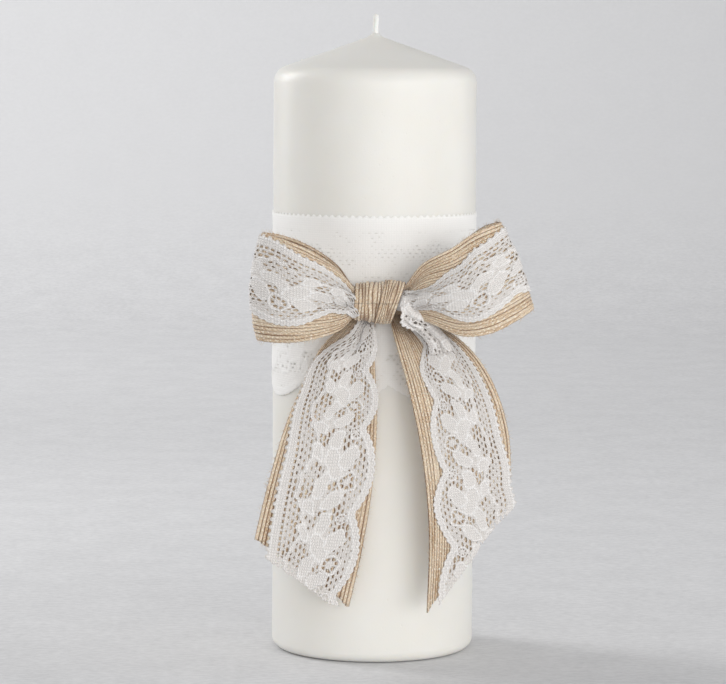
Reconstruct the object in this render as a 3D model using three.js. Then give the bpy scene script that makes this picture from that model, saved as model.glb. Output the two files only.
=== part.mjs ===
// Unity candle: an overdipped pillar candle with a lace band round its middle, and on the front a
// bow of corded jute ribbon with lace ribbon laid over it, gathered by a jute knot.
// Millimetres, +Z up. The origin is the middle of the base, and the bow faces -Y.
import * as THREE from "three";

// Gap kept between neighbouring solids.
const GAP = 0.35;

// Pillar
const PILLAR_RADIUS = 38.1;
const APEX_HEIGHT = 232;
const CONE_ANGLE = THREE.MathUtils.degToRad(19.5);
const SHOULDER_ROUND = 6.5;
const BASE_ROUND = 4;
const DIP_THICKNESS = 1.3;
const DIP_LIP_RADIUS = 31;

// Wick and its sustainer
const WICK_RADIUS = 1.15;
const WICK_ABOVE_APEX = 7.6;
const SUSTAINER_RADIUS = 10;
const SUSTAINER_PLATE = 0.5;
const NECK_RADIUS = 2.2;
const NECK_TOP = 6;

// Lace band
const BAND_BOTTOM = 97;
const BAND_TOP = 166;
const BAND_THICKNESS = 0.5;
const BAND_LAP_LIFT = 1.4;
const BAND_LAP_HALF_ANGLE = THREE.MathUtils.degToRad(10);
const BAND_RAMP_ANGLE = THREE.MathUtils.degToRad(12);
const TAPE_THICKNESS = 0.12;
const TAPE_HALF_ANGLE = THREE.MathUtils.degToRad(6);
const TAPE_MARGIN = 2;

// Ribbons
const JUTE_THICKNESS = 0.8;
const LACE_THICKNESS = 0.4;
const LACE_LIFT = 1.1;

// Knot
const KNOT = new THREE.Vector3(2, -49, 135.3);
const KNOT_LENGTH = 18.6;
const KNOT_HALF_HEIGHT = 7.8;
const KNOT_FLATTENING = 0.8;
const KNOT_HOLE_MIDDLE = 5.9;
const KNOT_HOLE_END = 7.05;
const TIE_WIRE_RADIUS = 0.35;
const TIE_WIRE_HALF_HEIGHT = 5.1;
const GLUE_RADIUS = 4.5;

// Bow loops and tails: the share of the ribbon's run at which a tail's fixed end stops, and the
// share at which the part that swings starts.
const JUTE_ROOT_END = 0.155;
const JUTE_SWING_START = 0.175;
const LACE_ROOT_END = 0.145;
const LACE_SWING_START = 0.18;

const TURN = 2 * Math.PI;
const ARC_STEPS = 2;
const PILLAR_SEGMENTS = 44;

function vectors(rows) {
  return rows.map(([x, y, z]) => new THREE.Vector3(x, y, z));
}

function rail(rows) {
  return new THREE.CatmullRomCurve3(vectors(rows), false, "catmullrom", 0.5);
}

function material(colour, roughness, metalness = 0) {
  return new THREE.MeshStandardMaterial({ color: colour, roughness, metalness });
}

const ivoryWax = material(0xf3f0e6, 0.42);
const coreWax = material(0xf1ecdf, 0.6);
const cotton = material(0xf4f1ea, 0.9);
const tinPlate = material(0xb9bcc0, 0.35, 1);
const ivoryLace = material(0xefebe2, 0.95);
const clearTape = material(0xe8e6de, 0.3);
const jute = material(0xb08d5f, 0.85);
const lace = material(0xe9e3df, 0.9);
const wire = material(0x9a8152, 0.4, 1);
const glue = material(0xe6dfc8, 0.35);

const candle = new THREE.Group();

function add(name, geometry, finish) {
  const mesh = new THREE.Mesh(geometry, finish);
  mesh.name = name;
  candle.add(mesh);
  return mesh;
}

// ---- Pillar -------------------------------------------------------------------------------

// A profile in radius and height, turned round the Z axis.
function turned(path, segments) {
  return new THREE.LatheGeometry(path.getPoints(ARC_STEPS), segments).rotateX(Math.PI / 2);
}

function coneHeight(radius, inset) {
  return APEX_HEIGHT - radius * Math.tan(CONE_ANGLE) - inset / Math.cos(CONE_ANGLE);
}

// The pillar's outer side from the base round to the cone, moved in by inset.
function pillarSide(path, inset) {
  const radius = PILLAR_RADIUS - inset;
  const base = BASE_ROUND - inset;
  const shoulder = SHOULDER_ROUND - inset;
  const shoulderRadius = radius - shoulder;
  const shoulderHeight = coneHeight(shoulderRadius, inset) - shoulder / Math.cos(CONE_ANGLE);
  path.absarc(radius - base, BASE_ROUND, base, -Math.PI / 2, 0, false);
  path.absarc(shoulderRadius, shoulderHeight, shoulder, 0, Math.PI / 2 - CONE_ANGLE, false);
  return path;
}

function overdip() {
  const hole = WICK_RADIUS + GAP;
  const lip = new THREE.Vector2(DIP_LIP_RADIUS, DIP_THICKNESS);
  const outside = new THREE.Path([lip]);
  outside.lineTo(DIP_LIP_RADIUS, 0);
  pillarSide(outside, 0);
  outside.lineTo(hole, coneHeight(hole, 0));
  const inside = pillarSide(new THREE.Path(), DIP_THICKNESS);
  inside.lineTo(hole, coneHeight(hole, DIP_THICKNESS));
  const profile = [
    ...outside.getPoints(ARC_STEPS),
    ...inside.getPoints(ARC_STEPS).reverse(),
    lip,
  ];
  return new THREE.LatheGeometry(profile, PILLAR_SEGMENTS).rotateX(Math.PI / 2);
}

function core() {
  const inset = DIP_THICKNESS + GAP;
  const footRadius = DIP_LIP_RADIUS - GAP;
  const hole = WICK_RADIUS + GAP;
  const neckHole = NECK_RADIUS + GAP;
  const path = new THREE.Path().moveTo(SUSTAINER_RADIUS + GAP, 0);
  path.lineTo(footRadius, 0);
  path.lineTo(footRadius, inset);
  pillarSide(path, inset);
  path.lineTo(hole, coneHeight(hole, inset));
  path.lineTo(hole, NECK_TOP + 1);
  path.lineTo(neckHole, NECK_TOP + 1);
  path.lineTo(neckHole, SUSTAINER_PLATE + GAP);
  path.lineTo(SUSTAINER_RADIUS + GAP, SUSTAINER_PLATE + GAP);
  path.closePath();
  return turned(path, PILLAR_SEGMENTS);
}

function sustainer() {
  const socket = WICK_RADIUS + GAP;
  const floor = 2 * SUSTAINER_PLATE;
  const path = new THREE.Path().moveTo(0, 0);
  path.lineTo(SUSTAINER_RADIUS, 0);
  path.lineTo(SUSTAINER_RADIUS, SUSTAINER_PLATE);
  path.lineTo(NECK_RADIUS, SUSTAINER_PLATE);
  path.lineTo(NECK_RADIUS, NECK_TOP);
  path.lineTo(socket, NECK_TOP);
  path.lineTo(socket, floor);
  path.lineTo(0, floor);
  return turned(path, 24);
}

function wick() {
  const bottom = 2 * SUSTAINER_PLATE + GAP;
  const length = APEX_HEIGHT + WICK_ABOVE_APEX - bottom;
  const geometry = new THREE.CylinderGeometry(WICK_RADIUS, WICK_RADIUS, length, 10);
  return geometry.rotateX(Math.PI / 2).translate(0, 0, bottom + length / 2);
}

add("wax_core", core(), coreWax);
add("wax_overdip", overdip(), ivoryWax);
add("wick", wick(), cotton);
add("wick_sustainer", sustainer(), tinPlate);

// ---- Lace band ----------------------------------------------------------------------------

// A strip standing on the XY plane along an arc, between two radii given as functions of the angle.
function curvedStrip(from, to, inner, outer, steps, bottom, top) {
  const along = (radius, i) => {
    const angle = from + ((to - from) * i) / steps;
    return new THREE.Vector2(Math.cos(angle), Math.sin(angle)).multiplyScalar(radius(angle));
  };
  const outline = [];
  for (let i = 0; i <= steps; i++) outline.push(along(outer, i));
  for (let i = steps; i >= 0; i--) outline.push(along(inner, i));
  const geometry = new THREE.ExtrudeGeometry(new THREE.Shape(outline), {
    depth: top - bottom,
    bevelEnabled: false,
  });
  return geometry.translate(0, 0, bottom);
}

// The band is one strip wound once round the pillar. Its second end laps over its first at the back.
const bandInner = PILLAR_RADIUS + GAP;
const lapMiddle = Math.PI / 2;
const bandFrom = lapMiddle - BAND_LAP_HALF_ANGLE;
const bandTo = bandFrom + TURN + 2 * BAND_LAP_HALF_ANGLE;
const lapStart = bandFrom + TURN;
const bandRadius = (angle) => {
  const ramp = (angle - (lapStart - BAND_RAMP_ANGLE)) / (BAND_RAMP_ANGLE * 0.8);
  return bandInner + BAND_LAP_LIFT * THREE.MathUtils.smoothstep(ramp, 0, 1);
};
add(
  "lace_band",
  curvedStrip(
    bandFrom,
    bandTo,
    bandRadius,
    (angle) => bandRadius(angle) + BAND_THICKNESS,
    72,
    BAND_BOTTOM,
    BAND_TOP,
  ),
  ivoryLace,
);
const tapeInner = bandInner + (BAND_THICKNESS + BAND_LAP_LIFT - TAPE_THICKNESS) / 2;
add(
  "band_seam_tape",
  curvedStrip(
    lapMiddle - TAPE_HALF_ANGLE,
    lapMiddle + TAPE_HALF_ANGLE,
    () => tapeInner,
    () => tapeInner + TAPE_THICKNESS,
    4,
    BAND_BOTTOM + TAPE_MARGIN,
    BAND_TOP - TAPE_MARGIN,
  ),
  clearTape,
);

// ---- Ribbons ------------------------------------------------------------------------------

// A ribbon's middle surface. u runs along it from 0 to 1, and v across it, from the first rail at 0
// to the second at 1. crown is how far the middle of its width bulges out at the middle of its run.
// facing is 1 or -1, and says which side is its outside.
class Ribbon {
  constructor({ first, second, crown = 0, facing = 1, shorterBy = 0 }) {
    this.first = rail(first);
    this.second = rail(second);
    this.crown = crown;
    this.facing = facing;
    // The cut end: the second rail's run ends this share of it early.
    this.shorterBy = shorterBy;
  }

  ruled(u, v) {
    const a = this.first.getPoint(THREE.MathUtils.clamp(u, 0, 1));
    const b = this.second.getPoint(THREE.MathUtils.clamp(u, 0, 1));
    return a.lerp(b, v);
  }

  normal(u, v) {
    const step = 1e-3;
    const low = Math.max(u - step, 0);
    const high = Math.min(u + step, 1);
    const along = this.ruled(high, v).sub(this.ruled(low, v));
    const across = this.ruled(u, 1).sub(this.ruled(u, 0));
    return across.cross(along).normalize().multiplyScalar(this.facing);
  }

  at(u, v, lift = 0) {
    const bulge = this.crown * Math.sin(Math.PI * u) * 4 * v * (1 - v);
    return this.ruled(u, v).addScaledVector(this.normal(u, v), bulge + lift);
  }
}

// A closed sheet over part of a ribbon: us and vs are functions of a grid's two coordinates, each
// from 0 to 1, and lift is how far the sheet's middle lies outside the ribbon's own surface.
function sheet(ribbon, { us, vs, lift = 0, thickness, alongSteps, acrossSteps }) {
  const positions = [];
  for (const side of [-1, 1])
    for (let i = 0; i <= alongSteps; i++)
      for (let j = 0; j <= acrossSteps; j++) {
        const v = vs(i / alongSteps, j / acrossSteps);
        const u = us(i / alongSteps, v);
        positions.push(...ribbon.at(u, v, lift + (side * thickness) / 2).toArray());
      }
  const rows = acrossSteps + 1;
  const layer = (alongSteps + 1) * rows;
  const index = [];
  const quad = (a, b, c, d) => index.push(a, b, c, a, c, d);
  const grid = (i, j, side) => side * layer + i * rows + j;
  for (let i = 0; i < alongSteps; i++)
    for (let j = 0; j < acrossSteps; j++) {
      quad(grid(i, j, 1), grid(i, j + 1, 1), grid(i + 1, j + 1, 1), grid(i + 1, j, 1));
      quad(grid(i, j, 0), grid(i + 1, j, 0), grid(i + 1, j + 1, 0), grid(i, j + 1, 0));
    }
  for (let i = 0; i < alongSteps; i++) {
    quad(grid(i, 0, 0), grid(i, 0, 1), grid(i + 1, 0, 1), grid(i + 1, 0, 0));
    const j = acrossSteps;
    quad(grid(i, j, 0), grid(i + 1, j, 0), grid(i + 1, j, 1), grid(i, j, 1));
  }
  for (let j = 0; j < acrossSteps; j++) {
    quad(grid(0, j, 0), grid(0, j + 1, 0), grid(0, j + 1, 1), grid(0, j, 1));
    const i = alongSteps;
    quad(grid(i, j, 0), grid(i, j, 1), grid(i, j + 1, 1), grid(i, j + 1, 0));
  }
  if (ribbon.facing < 0)
    for (let i = 0; i < index.length; i += 3)
      [index[i + 1], index[i + 2]] = [index[i + 2], index[i + 1]];
  return new THREE.BufferGeometry()
    .setAttribute("position", new THREE.Float32BufferAttribute(positions, 3))
    .setIndex(index);
}

// Each loop starts at the tie on its front layer, turns back at its outer fold and ends at the tie
// on its back layer. The first rail is its lower edge and the second its upper edge.
const leftLoop = new Ribbon({
  first: [
    [1.6, -49.7, 131.9],
    [-7, -50.3, 130],
    [-14, -54, 124.8],
    [-24, -57.5, 121.8],
    [-34, -56.5, 120.8],
    [-42.4, -49.5, 121.2],
    [-36, -43.5, 121.8],
    [-24, -42.5, 123.2],
    [-14, -43.6, 126.4],
    [-7, -47.7, 130],
    [1.6, -48.3, 131.9],
  ],
  second: [
    [1.6, -49.7, 138.7],
    [-7, -50.3, 140.4],
    [-14, -52.8, 148],
    [-24, -54.5, 154.2],
    [-33, -53, 158.2],
    [-40.4, -47.5, 160],
    [-34, -43.2, 159],
    [-24, -42.3, 155.2],
    [-14, -43.6, 148.6],
    [-7, -47.7, 140.4],
    [1.6, -48.3, 138.7],
  ],
  crown: 3,
  facing: 1,
});

const rightLoop = new Ribbon({
  first: [
    [2.4, -49.7, 131.9],
    [11.2, -50.4, 130.6],
    [20.5, -55, 127.8],
    [32, -59.5, 123.8],
    [44, -59, 125.6],
    [57.2, -50.5, 132.8],
    [46, -45, 129],
    [34, -43.5, 127.6],
    [20.5, -44, 129.4],
    [11.2, -47.7, 130.4],
    [2.4, -48.3, 131.9],
  ],
  second: [
    [2.4, -49.7, 138.7],
    [10.6, -50.4, 140.8],
    [17.6, -53, 149.4],
    [27.6, -55.2, 155.2],
    [35.6, -54, 160.6],
    [45, -48, 164.2],
    [39.6, -43.6, 162.6],
    [31, -42.6, 156.4],
    [20.5, -43.6, 149.6],
    [11.2, -47.7, 140.4],
    [2.4, -48.3, 138.7],
  ],
  crown: 1.4,
  facing: -1,
});

// Each tail runs down from behind the knot. The first rail is its edge at the middle of the candle
// and the second its outer edge, which the slanting cut leaves shorter.
const leftTail = new Ribbon({
  first: [
    [0.6, -42.2, 130.8],
    [0.2, -43.4, 118],
    [0.8, -44.2, 103],
    [1.2, -44.6, 88],
    [-0.4, -44.8, 66],
    [-4, -44.8, 43.5],
    [-8.6, -44.8, 22.5],
  ],
  second: [
    [-5.4, -42.2, 130.6],
    [-19, -44.4, 118.4],
    [-27, -45.6, 102.5],
    [-33.2, -45.6, 86.5],
    [-39, -45, 66],
    [-43.6, -44.4, 46.5],
    [-47, -43.8, 28.5],
  ],
  crown: 0.8,
  facing: 1,
  shorterBy: 0.175,
});

const rightTail = new Ribbon({
  first: [
    [5, -42.2, 130.8],
    [8, -45.8, 118.5],
    [12, -48.8, 104.5],
    [16.2, -49.6, 86.5],
    [19.2, -48.8, 66],
    [20.6, -47.6, 44.5],
    [20, -46.6, 20.8],
  ],
  second: [
    [13, -40.6, 131.6],
    [32, -40.6, 120.2],
    [43, -38.6, 106],
    [49.4, -36, 87],
    [50.2, -34.6, 67],
    [46.5, -34, 46],
    [44, -34, 22],
  ],
  crown: 1,
  facing: -1,
  shorterBy: 0.26,
});

function loopNodes(name, ribbon, low, high) {
  const steps = { alongSteps: 26, us: (u) => u };
  const whole = { ...steps, vs: (_, v) => v, thickness: JUTE_THICKNESS, acrossSteps: 5 };
  add(`jute_loop_${name}`, sheet(ribbon, whole), jute);
  const laid = { lift: LACE_LIFT, thickness: LACE_THICKNESS, acrossSteps: 4 };
  const vs = (_, v) => THREE.MathUtils.lerp(low, high, v);
  add(`lace_loop_${name}`, sheet(ribbon, { ...steps, ...laid, vs }), lace);
}

// A tail is one strip of each ribbon. Its top is held by the knot, and the rest hangs and swings.
function tailNodes(name, ribbon, laceLow, laceHigh) {
  const across = (low, high) => (share, v) =>
    THREE.MathUtils.lerp(low(share), high(share), v);
  const cut = (u, v) => u * (1 - ribbon.shorterBy * v);
  const part = (from, to) => (u, v) => {
    const end = to === 1 ? cut(1, v) : to;
    return THREE.MathUtils.lerp(from, end, u);
  };
  const juteStrip = { thickness: JUTE_THICKNESS, acrossSteps: 4, vs: (_, v) => v };
  const laceStrip = { lift: LACE_LIFT, thickness: LACE_THICKNESS, acrossSteps: 4 };
  const root = (end) => ({ alongSteps: 3, us: part(0, end) });
  const swing = (start) => ({ alongSteps: 12, us: part(start, 1) });
  const rootLace = across(() => laceLow(0), () => laceHigh(0));
  const swingLace = across(laceLow, laceHigh);
  add(`jute_tail_${name}_top`, sheet(ribbon, { ...juteStrip, ...root(JUTE_ROOT_END) }), jute);
  add(`jute_tail_${name}`, sheet(ribbon, { ...juteStrip, ...swing(JUTE_SWING_START) }), jute);
  add(
    `lace_tail_${name}_top`,
    sheet(ribbon, { ...laceStrip, ...root(LACE_ROOT_END), vs: rootLace }),
    lace,
  );
  add(
    `lace_tail_${name}`,
    sheet(ribbon, { ...laceStrip, ...swing(LACE_SWING_START), vs: swingLace }),
    lace,
  );
}

loopNodes("left", leftLoop, 0.18, 0.97);
loopNodes("right", rightLoop, 0.18, 0.88);
tailNodes("left", leftTail, () => 0, (u) => 0.92 - 0.05 * u);
tailNodes("right", rightTail, () => 0.24, (u) => 0.93 + 0.12 * u * u);

// ---- Knot ---------------------------------------------------------------------------------

// A part turned round the X axis through the knot's middle, flattened front to back.
function aroundKnot(geometry) {
  return geometry.scale(1, KNOT_FLATTENING, 1).translate(...KNOT.toArray());
}

function knotWrap() {
  const end = KNOT_LENGTH / 2;
  const profile = [
    [KNOT_HOLE_END, -end],
    [KNOT_HALF_HEIGHT - 0.3, -end],
    [KNOT_HALF_HEIGHT, -end * 0.6],
    [KNOT_HALF_HEIGHT - 0.2, 0],
    [KNOT_HALF_HEIGHT, end * 0.6],
    [KNOT_HALF_HEIGHT - 0.3, end],
    [KNOT_HOLE_END, end],
    [KNOT_HOLE_MIDDLE, end * 0.3],
    [KNOT_HOLE_MIDDLE, -end * 0.3],
    [KNOT_HOLE_END, -end],
  ].map(([radius, along]) => new THREE.Vector2(radius, along));
  return aroundKnot(new THREE.LatheGeometry(profile, 28).rotateZ(-Math.PI / 2));
}

function tieWire() {
  const ring = new THREE.TorusGeometry(TIE_WIRE_HALF_HEIGHT, TIE_WIRE_RADIUS, 8, 24);
  return aroundKnot(ring.rotateY(Math.PI / 2));
}

function gluePad() {
  const back = -(bandInner + BAND_THICKNESS + GAP);
  const front = KNOT.y + KNOT_HALF_HEIGHT * KNOT_FLATTENING + GAP;
  const pad = new THREE.CylinderGeometry(GLUE_RADIUS - 0.8, GLUE_RADIUS, back - front, 20);
  return pad.rotateX(Math.PI).translate(KNOT.x, (back + front) / 2, KNOT.z + 1);
}

add("knot_wrap", knotWrap(), jute);
add("tie_wire", tieWire(), wire);
add("glue_pad", gluePad(), glue);

export default candle;
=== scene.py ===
"""Unity candle: an ivory pillar with a lace band round it and a bow of corded jute under lace.

Meshes are worked out in millimetres and scaled to metres when their objects are made. Z is up and the bow
faces -Y.
"""

import math

import bpy
import numpy as np
from mathutils import Matrix, Vector


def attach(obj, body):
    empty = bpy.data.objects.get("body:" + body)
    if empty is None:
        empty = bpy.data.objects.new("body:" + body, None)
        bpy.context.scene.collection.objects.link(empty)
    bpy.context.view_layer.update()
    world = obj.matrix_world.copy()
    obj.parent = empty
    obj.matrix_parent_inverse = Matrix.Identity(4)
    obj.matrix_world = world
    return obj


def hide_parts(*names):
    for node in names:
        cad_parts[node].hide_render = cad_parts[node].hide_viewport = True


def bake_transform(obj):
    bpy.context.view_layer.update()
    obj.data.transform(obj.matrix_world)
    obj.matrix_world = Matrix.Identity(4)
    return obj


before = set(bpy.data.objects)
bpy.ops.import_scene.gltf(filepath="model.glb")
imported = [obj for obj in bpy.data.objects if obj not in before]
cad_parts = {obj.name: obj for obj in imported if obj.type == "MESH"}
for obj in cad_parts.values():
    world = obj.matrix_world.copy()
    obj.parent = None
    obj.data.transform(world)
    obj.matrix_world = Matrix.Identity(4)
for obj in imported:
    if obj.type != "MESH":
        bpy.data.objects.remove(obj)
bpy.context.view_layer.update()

MM = 0.001
DETAIL = 1.0

# Camera: place in mm, tilt and roll in degrees, lens and sensor in mm.
CAMERA_PLACE = (-4.04, -1200.0, 227.8)
CAMERA_TILT = 5.32
CAMERA_ROLL = 0.33
CAMERA_LENS = 157.9
CAMERA_SENSOR = 36.0

# Pillar
PILLAR_RADIUS = 38.1
APEX_HEIGHT = 232.0
CONE_SLOPE = math.tan(math.radians(19.5))
SHOULDER_ROUND = 6.5
BASE_ROUND = 4.0
DIP_LIP_RADIUS = 31.0
DIP_LIP_ROUND = 0.35

# Jute ribbon
JUTE_WIDTH = 39.0
JUTE_HALF_THICKNESS = 0.16
JUTE_ROW = 1.3
CORD_COUNT = 28
CORD_HEIGHT = 0.42
FIBRE_COUNT = 240
FIBRE_REACH = 1.9
FIBRE_RADIUS = 0.075

# Lace ribbon, and its lift off the middle of the jute
LACE_WIDTH = 32.0
LACE_LIFT = 0.68
LACE_CELL = 0.28 / DETAIL

# The lace round the pillar, in mm and degrees. Its second end laps over its first at the back.
BAND_RADIUS = 38.45
BAND_BOTTOM = 97.0
BAND_WIDTH = 69.0
BAND_START = 80.0
BAND_SWEEP = 380.0
BAND_CELL = 0.68 / DETAIL

# Knot
KNOT_X, KNOT_Y, KNOT_Z = 2.0, -49.0, 135.3
KNOT_HALF_LENGTH = 9.3
KNOT_HALF_HEIGHT = 7.6
KNOT_FLATTENING = 0.8
KNOT_THICKNESS = 0.7
KNOT_CORD_HEIGHT = 0.55

# Wick
WICK_RADIUS = 1.15
WICK_BOTTOM = 3.0
WICK_TOP = 239.5


# ---- Meshes and curves ----


def along(points, u):
    """The place at u, from 0 to 1, on a uniform Catmull-Rom curve through the points."""
    p = np.asarray(points, float)
    p = np.vstack([2 * p[0] - p[1], p, 2 * p[-1] - p[-2]])
    x = np.clip(u, 0, 1) * (len(p) - 3)
    i = np.minimum(x.astype(int), len(p) - 4)
    w = (x - i)[..., None]
    a, b, c, d = p[i], p[i + 1], p[i + 2], p[i + 3]
    return 0.5 * (2 * b + (c - a) * w + (2 * a - 5 * b + 4 * c - d) * w**2 + (3 * (b - c) + d - a) * w**3)


def profile(pairs, x):
    """Smooth interpolation through (x, value) pairs."""
    xs, ys = np.array(pairs, float).T
    i = np.clip(np.searchsorted(xs, x, side="right") - 1, 0, len(xs) - 2)
    w = np.clip((x - xs[i]) / (xs[i + 1] - xs[i]), 0, 1)
    w = w * w * (3 - 2 * w)
    return ys[i] * (1 - w) + ys[i + 1] * w


def smooth(x, low, high):
    """0 below low, 1 above high, and a smooth step between them."""
    w = np.clip((x - low) / (high - low), 0, 1)
    return w * w * (3 - 2 * w)


def ripple(x, y, seed, waves=5, longest=40.0, shortest=9.0):
    """A smooth, repeatable unevenness, about -1 to 1, over two coordinates in mm."""
    rng = np.random.default_rng(seed)
    gain = 1.6
    total = np.zeros(np.broadcast(x, y).shape)
    for _ in range(waves):
        length = rng.uniform(shortest, longest)
        angle, phase = rng.uniform(0, 2 * math.pi, 2)
        run = x * math.cos(angle) + y * math.sin(angle)
        total = total + np.sin(2 * math.pi * run / length + phase)
    return total / waves * gain


def new_object(name, points, faces, material, run=None, shade=None):
    """A smooth-shaded object from points in mm and faces. For the material's nodes, run holds each point's
    place on its cloth in mm, and shade a number from 0 to 1 that the materials turn into painted light and
    shade, low numbers darker."""
    mesh = bpy.data.meshes.new(name)
    mesh.from_pydata((np.asarray(points) * MM).tolist(), [], faces)
    mesh.polygons.foreach_set("use_smooth", np.ones(len(mesh.polygons), bool))
    if run is not None:
        attribute = mesh.attributes.new("run", "FLOAT_VECTOR", "POINT")
        flat = np.column_stack([run, np.zeros(len(run))]).astype(np.float32)
        attribute.data.foreach_set("vector", flat.ravel())
    if shade is not None:
        attribute = mesh.attributes.new("shade", "FLOAT", "POINT")
        attribute.data.foreach_set("value", np.asarray(shade, np.float32).ravel())
    mesh.materials.append(material)
    mesh.update()
    piece = bpy.data.objects.new(name, mesh)
    bpy.context.scene.collection.objects.link(piece)
    return piece


def grid_faces(rows, columns, closed_rows=False, closed_columns=False, start=0):
    """Quads over a grid of points numbered row by row."""
    i = np.arange(rows if closed_rows else rows - 1)
    j = np.arange(columns if closed_columns else columns - 1)
    i, j = np.meshgrid(i, j, indexing="ij")
    ni, nj = (i + 1) % rows, (j + 1) % columns
    quads = [i * columns + j, ni * columns + j, ni * columns + nj, i * columns + nj]
    return (np.stack([q.ravel() for q in quads], 1) + start).tolist()


def turned(name, outline, segments, material, wobble):
    """A solid of revolution round Z from (radius, height) pairs in mm that start and end on the axis.
    wobble is how far its side strays from round."""
    outline = np.array(outline, float)
    ring = outline[1:-1]
    angle = np.linspace(0, 2 * math.pi, segments, endpoint=False)
    a, r = np.meshgrid(angle, ring[:, 0], indexing="ij")
    z = np.broadcast_to(ring[:, 1], a.shape)
    r = r + wobble * ripple(np.sin(a) * 40 + 40 * np.cos(a), z, 3) * np.minimum(1, r / 20)
    points = np.stack([r * np.cos(a), r * np.sin(a), z], -1).reshape(-1, 3)
    faces = grid_faces(segments, len(ring), closed_rows=True)
    ends = np.array([[0, 0, outline[0, 1]], [0, 0, outline[-1, 1]]])
    points = np.vstack([points, ends])
    first, last = len(points) - 2, len(points) - 1
    n = len(ring)
    for i in range(segments):
        k = (i + 1) % segments
        faces.append([first, k * n, i * n])
        faces.append([last, i * n + n - 1, k * n + n - 1])
    return new_object(name, points, faces, material)


def arc(centre, radius, start, end, steps):
    """(radius, height) pairs along an arc, with its angles in degrees."""
    angles = np.radians(np.linspace(start, end, steps + 1))
    return [(centre[0] + radius * math.cos(a), centre[1] + radius * math.sin(a)) for a in angles]


# ---- Ribbon surfaces ----


class Ribbon:
    """A ribbon's middle surface between two rails, as the CAD has it, with pleats gathered into the knot.

    u runs along it from 0 to 1 and v across it, from the first rail at 0 to the second at 1. facing is 1
    or -1 and says which side is its outside. crown is its bulge in mm, and pleats a list of (count,
    phase, [(u, depth in mm), ...])."""

    unevenness = 0.3

    def __init__(self, first, second, facing, crown, pleats, seed):
        self.first, self.second = first, second
        self.facing, self.crown, self.pleats, self.seed = facing, crown, pleats, seed
        steps = np.linspace(0, 1, 400)
        middle = (along(first, steps) + along(second, steps)) / 2
        self.length = np.linalg.norm(np.diff(middle, axis=0), axis=1).sum()

    def ruled(self, u, v):
        """The straight surface between the rails."""
        v = np.asarray(v)[..., None]
        return along(self.first, u) * (1 - v) + along(self.second, u) * v

    @staticmethod
    def side(surface, u, v, facing):
        """The direction that a surface's outside faces."""
        step = 2e-3
        low, high = np.clip(u - step, 0, 1), np.clip(u + step, 0, 1)
        run = surface(high, v) - surface(low, v)
        across = surface(u, v + step) - surface(u, v - step)
        normal = np.cross(across, run) * facing
        return normal / np.maximum(np.linalg.norm(normal, axis=-1, keepdims=True), 1e-9)

    def cloth(self, u, v):
        """The surface with its crown, pleats and small unevenness."""
        bulge = self.crown * np.sin(math.pi * u) * 4 * np.clip(v, 0, 1) * (1 - np.clip(v, 0, 1))
        for count, phase, depths in self.pleats:
            bulge = bulge + profile(depths, u) * np.sin(2 * math.pi * (count * v + phase + 0.25 * u))
        bulge = bulge + self.unevenness * ripple(u * self.length, v * JUTE_WIDTH, self.seed)
        return self.ruled(u, v) + bulge[..., None] * self.side(self.ruled, u, v, self.facing)

    def at(self, u, v, lift):
        """The place lift mm off the cloth, on its outside."""
        normal = self.side(self.cloth, u, v, self.facing)
        return self.cloth(u, v) + np.asarray(lift)[..., None] * normal


LEFT_LOOP = Ribbon(
    first=[
        (1.6, -49.7, 131.9), (-7, -50.3, 130), (-14, -54, 124.8), (-24, -57.5, 121.8),
        (-34, -56.5, 120.8), (-42.4, -49.5, 121.2), (-36, -43.5, 121.8), (-24, -42.5, 123.2),
        (-14, -43.6, 126.4), (-7, -47.7, 130), (1.6, -48.3, 131.9),
    ],
    second=[
        (1.6, -49.7, 138.7), (-7, -50.3, 140.4), (-14, -52.8, 148), (-24, -54.5, 154.2),
        (-33, -53, 158.2), (-40.4, -47.5, 160), (-34, -43.2, 159), (-24, -42.3, 155.2),
        (-14, -43.6, 148.6), (-7, -47.7, 140.4), (1.6, -48.3, 138.7),
    ],
    facing=1,
    crown=3.0,
    pleats=[
        (1.5, 0.1, [(0, 0.2), (0.1, 0.9), (0.24, 1.0), (0.42, 0), (0.8, 0), (0.92, 0.7), (1, 0.2)]),
        (3.2, 0.4, [(0, 0), (0.08, 0.35), (0.2, 0.5), (0.36, 0), (1, 0)]),
    ],
    seed=11,
)

RIGHT_LOOP = Ribbon(
    first=[
        (2.4, -49.7, 131.9), (11.2, -50.4, 130.6), (20.5, -55, 127.8), (32, -59.5, 123.8),
        (44, -59, 125.6), (57.2, -50.5, 132.8), (46, -45, 129), (34, -43.5, 127.6), (20.5, -44, 129.4),
        (11.2, -47.7, 130.4), (2.4, -48.3, 131.9),
    ],
    second=[
        (2.4, -49.7, 138.7), (10.6, -50.4, 140.8), (17.6, -53, 149.4), (27.6, -55.2, 155.2),
        (35.6, -54, 160.6), (45, -48, 164.2), (39.6, -43.6, 162.6), (31, -42.6, 156.4),
        (20.5, -43.6, 149.6), (11.2, -47.7, 140.4), (2.4, -48.3, 138.7),
    ],
    facing=-1,
    crown=1.4,
    pleats=[
        (1.5, 0.55, [(0, 0.2), (0.1, 0.9), (0.22, 1.1), (0.4, 0), (0.8, 0), (0.92, 0.7), (1, 0.2)]),
        (3.4, 0.8, [(0, 0), (0.08, 0.35), (0.2, 0.5), (0.34, 0), (1, 0)]),
    ],
    seed=12,
)

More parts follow.
